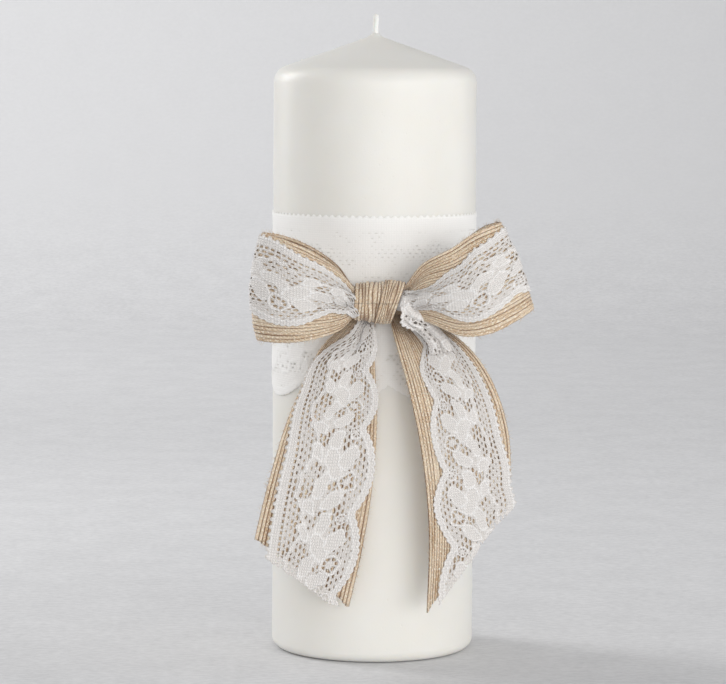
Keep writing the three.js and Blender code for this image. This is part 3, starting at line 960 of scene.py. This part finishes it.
def make_pillar():
    """The dipped skin: a rounded foot, straight sides, a tight shoulder and a shallow cone."""
    slope = math.degrees(math.atan(CONE_SLOPE))
    shoulder_radius = PILLAR_RADIUS - SHOULDER_ROUND
    cone_foot = APEX_HEIGHT - shoulder_radius * CONE_SLOPE
    shoulder_height = cone_foot - SHOULDER_ROUND / math.cos(math.radians(slope))
    lip, lip_round, recess = DIP_LIP_RADIUS, DIP_LIP_ROUND, 1.3
    outline = [(0, recess), (lip - 0.6, recess), (lip, 0.9), (lip, lip_round)]
    outline += arc((lip + lip_round, lip_round), lip_round, 180, 270, 3)
    outline += arc((PILLAR_RADIUS - BASE_ROUND, BASE_ROUND), BASE_ROUND, -90, 0, 10)
    outline += [(PILLAR_RADIUS, z) for z in np.linspace(8, shoulder_height - 6, 60)]
    outline += arc((shoulder_radius, shoulder_height), SHOULDER_ROUND, 0, 90 - slope, 16)
    outline += [(r, APEX_HEIGHT - r * CONE_SLOPE) for r in np.linspace(shoulder_radius - 2.5, 3.4, 12)]
    outline += [(2.6, APEX_HEIGHT - 0.75), (1.9, APEX_HEIGHT - 0.25), (1.45, APEX_HEIGHT + 0.25)]
    outline += [(1.2, APEX_HEIGHT + 0.35), (0, APEX_HEIGHT + 0.35)]
    pillar = turned("wax_skin", outline, 160, DIPPED_WAX, wobble=0.07)
    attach(pillar, "candle")
    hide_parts("wax_overdip")


def make_beads():
    """Small beads of wax left round the wick and on the cone by the last dip."""
    rng = np.random.default_rng(BEAD_SEED)
    rings, steps = 5, 10
    turn = np.linspace(0, 2 * math.pi, steps, endpoint=False)
    points, faces = [], []
    for away, angle, size in BEADS:
        a = math.radians(angle)
        x, y = away * math.cos(a), away * math.sin(a)
        z = APEX_HEIGHT - max(away, 2.2) * CONE_SLOPE
        length = size * rng.uniform(1.1, 1.6)
        width = size * rng.uniform(0.8, 1.1)
        first = len(points)
        for tilt in np.radians(np.linspace(-60, 75, rings)):
            c, lift = math.cos(tilt), 0.7 * size * math.sin(tilt)
            points += [(x + length * c * math.cos(t), y + width * c * math.sin(t), z + lift) for t in turn]
        faces += [f[::-1] for f in grid_faces(rings, steps, closed_columns=True, start=first)]
        faces.append([first + k for k in range(steps)][::-1])
        faces.append([first + (rings - 1) * steps + k for k in range(steps)])
    beads = new_object("wax_beads", points, faces, DIPPED_WAX)
    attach(beads, "candle")


make_pillar()
make_beads()

# ---- Bow ----


def lace_edge(*places):
    """Where an edge of the lace lies across the jute: v for u, through (u, v) pairs."""
    return lambda u: profile(places, u)


def square_end(u=1.0):
    """A straight cut end at u."""
    return lambda v: u * np.ones_like(v)


def slanting_end(slant, past=0.0):
    """A cut end that is slant shorter at the second rail than at the first, and lies past further along."""
    return lambda v: 1 - slant * v + past


RUFFLE = Ribbon(
    first=[
        (11.8, -50.4, 136), (9.6, -53.8, 132), (9.2, -53.6, 128.2), (12.4, -52.2, 125.8),
        (15.4, -50.2, 123.4), (17.8, -48.4, 119.8), (18.6, -47.2, 115.6),
    ],
    second=[
        (13.2, -50.2, 137.4), (12.6, -53.4, 135.6), (14.2, -52.8, 132.8), (18.4, -51.6, 130.2),
        (22.8, -49.8, 126.4), (27.2, -47.2, 122), (30, -44.8, 117.2),
    ],
    facing=-1,
    crown=0.6,
    pleats=[
        (2.6, 0.1, [(0, 0.3), (0.5, 0.6), (0.8, 0.7), (1, 0.3)]),
        (0.4, 0.3, [(0, 0.1), (0.2, 0.7), (0.45, 0.1), (0.65, 0.6), (1, 0)]),
    ],
    seed=15,
)


def make_ruffle():
    """A little lace squeezed out along the knot's right side, where the right tail's lace goes in."""
    low, high = lace_edge((0, 0), (1, 0)), lace_edge((0, 1), (1, 1))
    lace, _ = lace_ribbon("lace_ruffle", RUFFLE, 0.01, square_end(0.99), low, high, 2.0, width=17.0)
    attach(lace, "candle")
    return lace


def make_loop(side, ribbon, low, high, phase):
    """One loop of the bow, in jute and lace."""
    jute = jute_sheet(f"jute_{side}_loop", ribbon, square_end(), 0.75)
    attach(jute, "candle")
    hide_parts(f"jute_loop_{side}")
    name, puff = f"lace_{side}_loop", (2.0, 0.105, 0.04)
    lace, threads = lace_ribbon(name, ribbon, 0.015, square_end(0.985), low, high, phase, puff=puff)
    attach(lace, "candle")
    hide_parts(f"lace_loop_{side}")
    extra = [make_ruffle()] if side == "right" else []


def make_tail(side, ribbon, slant, past, low, high, phase, puff=None):
    """One tail of the bow, in jute cut on a slant and lace cut a little past it."""
    cut = slanting_end(slant)
    jute = jute_sheet(f"jute_{side}_tail", ribbon, cut, 0.92)
    name, lace_cut = f"lace_{side}_tail", slanting_end(slant, past)
    lace, threads = lace_ribbon(name, ribbon, 0.02, lace_cut, low, high, phase, puff=puff)
    for piece, kind in ((jute, "jute"), (lace, "lace")):
        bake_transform(piece)
        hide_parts(f"{kind}_tail_{side}_top", f"{kind}_tail_{side}")
    kept = 1 - (1 - cut(1.0)) / 2


def knot_fold(name, left, right, lift, cords, seed):
    """A turn of jute round the bow's middle, lift mm off the turn under it. left and right are its edges
    along X: (place at the front, how much further right at the top)."""
    rng = np.random.default_rng(seed)
    growth = rng.uniform(0.7, 1.25, cords)
    edges = np.cumsum(np.concatenate([[0], rng.uniform(0.7, 1.3, cords)]))
    share, height = cord_ridges(edges / edges[-1], growth)
    rows = int(120 * DETAIL)
    angle = np.linspace(0, 2 * math.pi, rows, endpoint=False)[:, None]
    w = np.broadcast_to(share, (rows, len(share)))
    wander = 0.22 * np.sin(2 * angle + 9 * w) + 0.15 * np.sin(3 * angle - 14 * w + seed)
    left_edge, right_edge = (middle + shift * np.sin(angle) for middle, shift in (left, right))
    x = left_edge * (1 - w) + right_edge * w + wander * 4 * w * (1 - w)
    belly = 1 - 0.11 * np.abs((x - KNOT_X) / KNOT_HALF_LENGTH) ** 2.2
    depth = np.clip(0.7 + 0.5 * ripple(angle * 6, w * 40, seed + 1, longest=14, shortest=5), 0.2, 1.1)
    rise = KNOT_CORD_HEIGHT * height[None, :] * depth
    outer = KNOT_HALF_HEIGHT * belly + lift + rise - KNOT_CORD_HEIGHT
    inner = outer - rise - KNOT_THICKNESS
    points = []
    for radius in (outer, inner):
        y = KNOT_Y - radius * KNOT_FLATTENING * np.cos(angle)
        points.append(np.stack([x, y, KNOT_Z + radius * np.sin(angle)], -1).reshape(-1, 3))
    columns = len(share)
    count = rows * columns
    quads = np.array(grid_faces(rows, columns, closed_rows=True))
    faces = quads[:, ::-1].tolist() + (quads + count).tolist()
    for i in range(rows):
        k = (i + 1) % rows
        a, b = i * columns, k * columns
        faces.append([a, b, b + count, a + count])
        a, b = a + columns - 1, b + columns - 1
        faces.append([b, a, a + count, b + count])
    cord_width = 1.4
    run = np.stack([angle * KNOT_HALF_HEIGHT + 0 * w, w * cords * cord_width], -1).reshape(-1, 2)
    # Painted shade in the grooves between the knot's cords, a little weaker than on the ribbon.
    shade = np.clip(rise / KNOT_CORD_HEIGHT, 0, 1).ravel() ** 0.7
    shades = np.concatenate([shade, shade])
    piece = new_object(name, np.vstack(points), faces, JUTE, np.vstack([run, run]), shades)
    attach(piece, "candle")
    return piece


def make_knot():
    """The knot: jute gathered round the middle of the bow, with a slanting fold over its right side."""
    main = knot_fold("knot_turn", left=(-7.3, 0.3), right=(6.6, 0.6), lift=0.0, cords=11, seed=41)
    slant = knot_fold("knot_fold", left=(1.9, 1.9), right=(8.7, 2.6), lift=0.75, cords=7, seed=42)
    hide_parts("knot_wrap")


def make_band():
    """The wide lace round the pillar. Its second end rises over the first and is pressed down past it."""
    clearance, lap_lift, lap_press, flatness = 0.22, 1.4, 0.95, 0.6
    turn = 2 * math.pi * BAND_RADIUS
    length = turn * BAND_SWEEP / 360
    rows = int(length / BAND_CELL) + 3
    columns = int(BAND_WIDTH / BAND_CELL) + 4
    s = ((np.arange(rows) - 1) * BAND_CELL)[:, None]
    t = ((np.arange(columns) - 2) * BAND_CELL)[None, :]
    thread, relief = lace_pattern(s + 3, t, BAND_WIDTH, repeat=34.0, scale=1.5, openness=(0.34, 0.8))
    thread = np.minimum(thread, np.minimum(s + 0 * t, length - s + 0 * t))

    def place(i, j, height):
        gone = (i - 1) * BAND_CELL / turn * 360
        angle = np.radians(BAND_START + gone)
        over = smooth(gone, BAND_SWEEP - 32, BAND_SWEEP - 20)
        pressed = smooth(gone, BAND_SWEEP - 3.8, BAND_SWEEP - 0.6)
        radius = PILLAR_RADIUS + clearance + height * flatness + lap_lift * over - lap_press * pressed
        z = BAND_BOTTOM + (j - 2) * BAND_CELL
        return np.stack([radius * np.cos(angle), radius * np.sin(angle), z], -1)

    def run(i, j):
        return np.stack([i * BAND_CELL, j * BAND_CELL], -1)

    lace, cells = openwork("lace_round_pillar", thread, relief, place, IVORY_LACE, run)
    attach(lace, "candle")
    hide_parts("lace_band")


def make_wick():
    """A braided cotton wick, from the sustainer up through the cone."""
    # Fewer rings inside the wax than above it
    heights = np.concatenate([np.linspace(WICK_BOTTOM, 224, 30), np.linspace(224.3, WICK_TOP - 0.6, 70)])
    ends = [(WICK_TOP - 0.25, 0.86), (WICK_TOP, 0.5)]
    segments, twist = 24, 1.5
    angle = np.linspace(0, 2 * math.pi, segments, endpoint=False)
    rings = []
    for z in heights:
        left = np.abs(np.sin(1.5 * angle + z * twist))
        right = np.abs(np.sin(1.5 * angle - z * twist))
        radius = WICK_RADIUS * (0.86 + 0.14 * np.maximum(left, right))
        rings.append((radius, z))
    for z, size in ends:
        rings.append((WICK_RADIUS * size * np.ones(segments), z))
    lean = [0.12 * smooth(z, APEX_HEIGHT, WICK_TOP) for _, z in rings]
    points = []
    for (radii, z), x in zip(rings, lean):
        points += [(r * math.cos(a) + x, r * math.sin(a), z) for r, a in zip(radii, angle)]
    faces = [f[::-1] for f in grid_faces(len(rings), segments, closed_columns=True)]
    points += [(0, 0, heights[0]), (lean[-1], 0, WICK_TOP + 0.1)]
    last = (len(rings) - 1) * segments
    for i in range(segments):
        k = (i + 1) % segments
        faces.append([len(points) - 2, k, i])
        faces.append([len(points) - 1, last + i, last + k])
    wick = new_object("braided_wick", points, faces, COTTON)
    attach(wick, "candle")
    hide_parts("wick")


make_loop(
    "left",
    LEFT_LOOP,
    low=lace_edge((0, 0.25), (0.05, 0.2), (0.1, 0.02), (0.17, 0.2), (0.25, 0.2), (0.34, 0.16), (1, 0.18)),
    high=lace_edge((0, 0.8), (0.08, 0.78), (0.3, 0.9), (0.47, 0.99), (0.6, 0.98), (1, 0.9)),
    phase=5.0,
)
make_loop(
    "right",
    RIGHT_LOOP,
    low=lace_edge((0, 0.2), (0.2, 0.22), (0.35, 0.15), (0.5, 0.14), (1, 0.2)),
    high=lace_edge(
        (0, 0.9), (0.08, 0.8), (0.2, 0.6), (0.3, 0.78), (0.4, 0.87), (0.5, 0.95), (0.8, 0.93), (1, 0.9)
    ),
    phase=2.2,
)
make_tail(
    "left",
    LEFT_TAIL,
    slant=0.175,
    past=0.035,
    low=lace_edge((0, 0.0), (0.2, -0.06), (0.5, -0.02), (1, 0.03)),
    high=lace_edge((0, 0.7), (0.1, 0.68), (0.24, 1.03), (0.35, 1.0), (0.6, 0.92), (1, 0.86)),
    phase=24.0,
    puff=(2.4, 0.14, 0.07),
)
make_tail(
    "right",
    RIGHT_TAIL,
    slant=0.26,
    past=0.03,
    low=lace_edge((0, 0.5), (0.1, 0.4), (0.3, 0.18), (0.5, 0.12), (0.7, 0.05), (0.85, 0.14), (1, 0.14)),
    high=lace_edge((0, 0.95), (0.2, 0.91), (0.5, 0.91), (0.65, 1.01), (0.75, 1.14), (0.85, 1.3), (1, 1.42)),
    phase=6.2,
)
make_knot()
make_band()
make_wick()

# ---- CAD parts that show ----

for node, material in (
    ("wax_core", PRESSED_WAX),
    ("wick_sustainer", TINPLATE),
    ("band_seam_tape", CLEAR_TAPE),
    ("tie_wire", GILT_WIRE),
    ("glue_pad", SET_GLUE),
):
    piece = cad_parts[node]
    piece.data.materials.clear()
    piece.data.materials.append(material)


# ---- Studio ----

# Lights: (name, place, what it faces, width and height, power in watts, spread in degrees).
LIGHTS = [
    ("key", (810, -1030, 330), (0, 0, 200), (1050, 520), 2.53, 120),
    ("front", (150, -1400, 300), (0, 0, 200), (900, 500), 1.77, 120),
    ("left_rim", (-760, 450, 480), (0, 0, 120), (300, 600), 1.08, 90),
    ("right_rim", (900, 200, 330), (0, 0, 130), (400, 560), 0.39, 120),
    ("wash", (-700, 600, 1200), (-500, 1800, 500), (900, 500), 10.5, 180),
]

AIR_STRENGTH = 0.69

FLOOR_REACH = 7000.0
FLOOR_DROP = 0.2
FLOOR_BEND = 500.0
BACKDROP = 1800.0


def make_studio():
    """A pale paper floor that curves up into a backdrop."""
    n = Nodes("studio_paper")
    place = n.place()
    broad = n.noise(place, 40.0, 3.0, 0.6)
    fine = n.noise(n.stretched(place, (260, 420, 260)), 1.0, 3.0, 0.7)
    grain = n.math("ADD", n.math("MULTIPLY", broad, 0.3), n.math("MULTIPLY", fine, 0.7))
    rough = n.ramp(grain, [(0.36, (0.64, 0.64, 0.65)), (0.64, (0.755, 0.755, 0.765))])
    height = n.add("ShaderNodeSeparateXYZ", {0: place}).outputs["Z"]
    upright = n.ramp(n.math("MULTIPLY", height, 10.0), [(0.0, (0, 0, 0)), (1.0, (0.8, 0.8, 0.8))])
    paper = n.finish(base_color=n.mix(upright, rough, (0.71, 0.71, 0.72)), roughness=0.9)
    outline = [(-FLOOR_REACH, 0.0), (-1500, 0.0)]
    outline += arc((BACKDROP - FLOOR_BEND, FLOOR_BEND), FLOOR_BEND, -90, 0, 11)
    outline += [(BACKDROP, 2600)]
    across = (-FLOOR_REACH, -2600.0, 2600.0, FLOOR_REACH)
    points = [(x, y, z - FLOOR_DROP) for x in across for y, z in outline]
    floor = new_object("studio_floor", points, grid_faces(len(across), len(outline)), paper)


def area_light(name, place, target, size, power, spread):
    """A soft panel, unseen by the camera."""
    light = bpy.data.lights.new(name, "AREA")
    light.shape = "RECTANGLE"
    light.size, light.size_y = (x * MM for x in size)
    light.energy = power
    light.spread = math.radians(spread)
    lamp = bpy.data.objects.new(name, light)
    lamp.location = Vector(place) * MM
    lamp.visible_camera = False
    lamp.rotation_euler = (Vector(target) - Vector(place)).to_track_quat("-Z", "Y").to_euler()
    bpy.context.scene.collection.objects.link(lamp)


def make_air():
    """Even light from all round, weaker from overhead."""
    world = bpy.data.worlds.new("studio_air")
    world.use_nodes = True
    tree = world.node_tree
    background = tree.nodes["Background"]
    place = tree.nodes.new("ShaderNodeTexCoord")
    split = tree.nodes.new("ShaderNodeSeparateXYZ")
    ramp = tree.nodes.new("ShaderNodeValToRGB")
    low, high = ramp.color_ramp.elements
    low.position, low.color = 0.1, (1, 1, 1, 1)
    high.position, high.color = 0.8, (0.63, 0.63, 0.63, 1)
    tree.links.new(place.outputs["Generated"], split.inputs[0])
    tree.links.new(split.outputs["Z"], ramp.inputs["Fac"])
    tree.links.new(ramp.outputs["Color"], background.inputs["Color"])
    background.inputs["Strength"].default_value = AIR_STRENGTH
    bpy.context.scene.world = world


def make_lights():
    """The air's light and the panels."""
    make_air()
    for light in LIGHTS:
        area_light(*light)
    bpy.context.scene.view_settings.view_transform = "Standard"


def make_camera():
    """A long lens in front of the bow, a little above it."""
    data = bpy.data.cameras.new("camera")
    data.lens = CAMERA_LENS
    data.sensor_width = CAMERA_SENSOR
    data.clip_end = 20
    camera = bpy.data.objects.new("camera", data)
    tilt = Matrix.Rotation(math.radians(90 - CAMERA_TILT), 4, "X")
    roll = Matrix.Rotation(math.radians(CAMERA_ROLL), 4, "Z")
    camera.matrix_world = Matrix.Translation(Vector(CAMERA_PLACE) * MM) @ tilt @ roll
    bpy.context.scene.collection.objects.link(camera)
    bpy.context.scene.camera = camera


make_studio()
make_lights()
make_camera()

bpy.context.view_layer.update()
